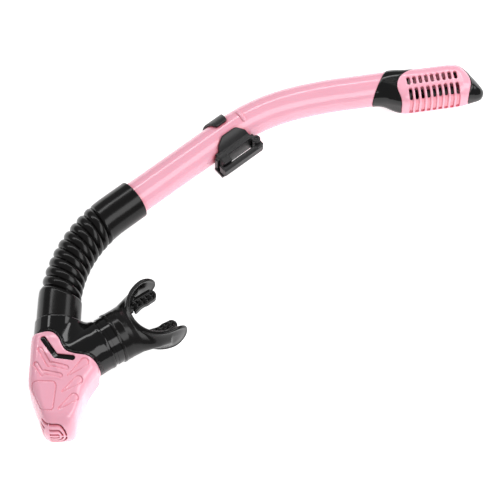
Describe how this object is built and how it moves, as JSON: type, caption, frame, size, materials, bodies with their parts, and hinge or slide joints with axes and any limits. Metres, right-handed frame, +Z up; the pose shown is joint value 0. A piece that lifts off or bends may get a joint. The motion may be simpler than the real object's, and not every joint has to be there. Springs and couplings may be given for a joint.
{
  "type": "dry-top snorkel",
  "caption": "Dry-top snorkel: curved rigid tube with float valve top, mask strap keeper, ribbed flexible hose, purge chamber and swivelling silicone mouthpiece.",
  "frame": {"origin": "under the middle of the object's box, on the surface that it lies on", "axes": "+Z up, square to the plane of the snorkel's curve; +X along the mouthpiece port, away from the chamber"},
  "size_m": [0.429, 0.1682, 0.0384],
  "materials": {
    "gloss_pink": "glossy moulded polycarbonate",
    "gloss_black": "glossy moulded ABS",
    "satin_black": "satin moulded polypropylene",
    "black_silicone": "satin liquid silicone rubber",
    "clear_silicone": "translucent silicone rubber",
    "float_plastic": "moulded polypropylene",
    "pin_steel": "ground stainless"
  },
  "bodies": {
    "snorkel_tube": {"upper_tube": "gloss_pink", "flex_hose": "black_silicone", "dry_top_housing": "gloss_black", "dry_top_grille": "gloss_pink", "top_seal": "black_silicone", "valve_plate": "gloss_black", "valve_seat": "clear_silicone", "float_hinge_pin": "pin_steel"},
    "float_valve": {"float_arm": "gloss_black", "float_body": "float_plastic", "seal_pad": "clear_silicone"},
    "mask_keeper": {"keeper_clamp": "satin_black", "keeper_hinge_pin": "pin_steel"},
    "keeper_gate": {"keeper_gate": "satin_black"},
    "chamber": {"lower_chamber": "gloss_black", "purge_cover": "gloss_pink", "purge_valve_seat": "gloss_black", "purge_valve": "clear_silicone"},
    "mouthpiece": {"swivel_connector": "gloss_black", "swivel_seal": "black_silicone", "mouthpiece": "black_silicone"}
  },
  "joints": [
    {"name": "hose_bend", "type": "hinge", "parent": "snorkel_tube", "child": "chamber", "pos_m": [-0.12279, 0.04226, 0.0192], "axis": [0, 0, 1], "range_deg": [-25, 25], "stiffness_Nm_per_rad": 0.3, "deforming": ["flex_hose"]},
    {"name": "mouthpiece_swivel", "type": "hinge", "parent": "chamber", "child": "mouthpiece", "pos_m": [-0.14411, -0.03225, 0.0192], "axis": [1, 0, 0], "continuous": true},
    {"name": "keeper_slide", "type": "slide", "parent": "snorkel_tube", "child": "mask_keeper", "axis": [0.9934, 0.1149, 0], "range_m": [-0.06, 0]},
    {"name": "keeper_gate_hinge", "type": "hinge", "parent": "mask_keeper", "child": "keeper_gate", "pos_m": [0.04161, 0.05001, 0.0192], "axis": [0, 0, 1], "range_deg": [0, 100]},
    {"name": "float_hinge", "type": "hinge", "parent": "snorkel_tube", "child": "float_valve", "pos_m": [0.16513, 0.02251, 0.0192], "axis": [0, 0, 1], "range_deg": [0, 12]}
  ]
}
